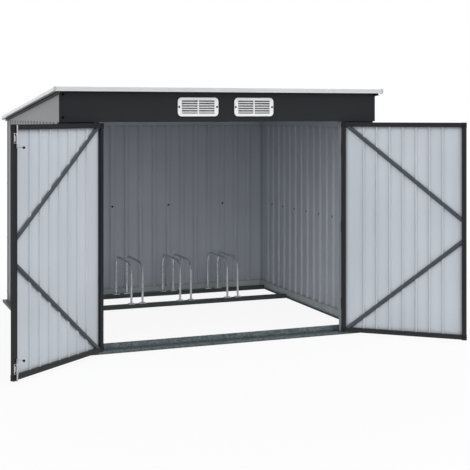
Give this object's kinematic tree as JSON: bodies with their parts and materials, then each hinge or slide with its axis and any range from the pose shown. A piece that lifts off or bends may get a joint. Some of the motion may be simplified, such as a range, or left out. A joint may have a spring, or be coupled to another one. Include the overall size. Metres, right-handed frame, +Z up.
{
  "type": "bike shelter",
  "caption": "Ribbed sheet metal bike shed with a mono pitch roof, hinged double doors with braces and slide bolts, roof vents in the fascia and a floor rack for wheels.",
  "frame": {"origin": "on the ground, in the middle of the foot of the front base rail", "axes": "+X to the right along the front as seen from in front, +Y to the back, +Z up"},
  "size_m": [2.868, 2.6164, 1.6139],
  "materials": {
    "sheet_paint": "satin",
    "anthracite_paint": "satin",
    "brace_paint": "satin",
    "rail_coat": "satin",
    "roof_paint": "satin",
    "zinc": "galvanised",
    "vent_plastic": "moulded"
  },
  "bodies": {
    "shelter": {"base_rail_front": "rail_coat", "base_rail_back": "rail_coat", "base_rail_left": "rail_coat", "base_rail_right": "rail_coat", "rack_rail_front": "rail_coat", "rack_rail_rear": "rail_coat", "wheel_hoops_1": "zinc", "wheel_hoops_2": "zinc", "wheel_hoops_3": "zinc", "wheel_hoops_4": "zinc", "roof_purlins": "zinc", "wall_left": "sheet_paint", "wall_right": "sheet_paint", "wall_back": "sheet_paint", "front_panel_left": "sheet_paint", "front_panel_right": "sheet_paint", "top_rail_left": "sheet_paint", "top_rail_right": "sheet_paint", "top_rail_back": "sheet_paint", "gable_left": "sheet_paint", "gable_right": "sheet_paint", "door_post_left": "sheet_paint", "door_post_right": "sheet_paint", "front_corner_trims": "anthracite_paint", "back_corner_trims": "anthracite_paint", "door_lintel": "anthracite_paint", "fascia": "anthracite_paint", "gable_rail_left": "anthracite_paint", "gable_rail_right": "anthracite_paint", "hinge_plates_left": "anthracite_paint", "hinge_plates_right": "anthracite_paint", "vent_grille_left": "vent_plastic", "vent_grille_right": "vent_plastic", "roof_sheet": "roof_paint", "roof_edge_front": "roof_paint", "roof_edge_back": "roof_paint", "roof_verge_left": "roof_paint", "roof_verge_right": "roof_paint"},
    "left_door": {"left_door_stiles": "anthracite_paint", "left_door_rails": "anthracite_paint", "left_door_hinges": "anthracite_paint", "left_door_sheet": "sheet_paint", "left_door_braces": "brace_paint", "bolt_guides": "zinc"},
    "right_door": {"right_door_stiles": "anthracite_paint", "right_door_rails": "anthracite_paint", "right_door_hinges": "anthracite_paint", "door_handle": "anthracite_paint", "right_door_sheet": "sheet_paint", "right_door_braces": "brace_paint"},
    "top_bolt": {"bolt_top": "zinc"},
    "bottom_bolt": {"bolt_bottom": "zinc"}
  },
  "joints": [
    {"name": "left_door_swing", "type": "hinge", "parent": "shelter", "child": "left_door", "pos_m": [-0.812, -0.06, 0.711], "axis": [0, 0, -1], "range_deg": [-140, 30]},
    {"name": "right_door_swing", "type": "hinge", "parent": "shelter", "child": "right_door", "pos_m": [0.812, -0.06, 0.711], "axis": [0, 0, 1], "range_deg": [-140, 30]},
    {"name": "top_bolt_slide", "type": "slide", "parent": "left_door", "child": "top_bolt", "axis": [0, 0, -1], "range_m": [-0.015, 0]},
    {"name": "bottom_bolt_slide", "type": "slide", "parent": "left_door", "child": "bottom_bolt", "axis": [0, 0, 1], "range_m": [-0.015, 0]}
  ]
}
